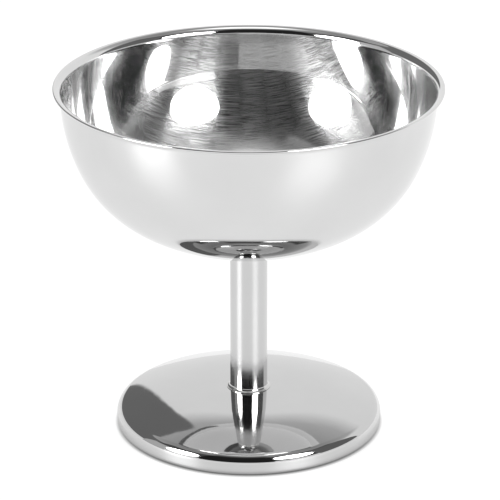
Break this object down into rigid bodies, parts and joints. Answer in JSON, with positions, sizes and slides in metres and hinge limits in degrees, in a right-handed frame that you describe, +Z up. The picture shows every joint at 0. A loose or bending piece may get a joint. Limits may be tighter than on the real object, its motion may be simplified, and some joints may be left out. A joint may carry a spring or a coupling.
{
  "type": "sundae cup",
  "caption": "Stainless steel sundae cup: a round drawn bowl with a turned-out lip on a short tube stem and a hollow pressed foot.",
  "frame": {"origin": "on the table under the middle of the foot", "axes": "+Z up along the cup's axis, from the foot to the mouth; X and Y are any two level directions, since the cup is round"},
  "size_m": [0.095, 0.095, 0.089],
  "materials": {
    "bowl_steel": "buffed stainless steel, mirror-like outside, fine straight brush lines across the inside",
    "stem_steel": "buffed stainless steel tube",
    "foot_steel": "buffed stainless steel sheet, plain mill finish underneath",
    "weld_steel": "weld metal, buffed over",
    "plug_steel": "turned steel"
  },
  "bodies": {
    "root": {"bowl": "bowl_steel", "bowl_weld": "weld_steel", "neck_plug": "plug_steel", "stem_tube": "stem_steel", "foot_weld": "weld_steel", "foot": "foot_steel"}
  },
  "joints": []
}
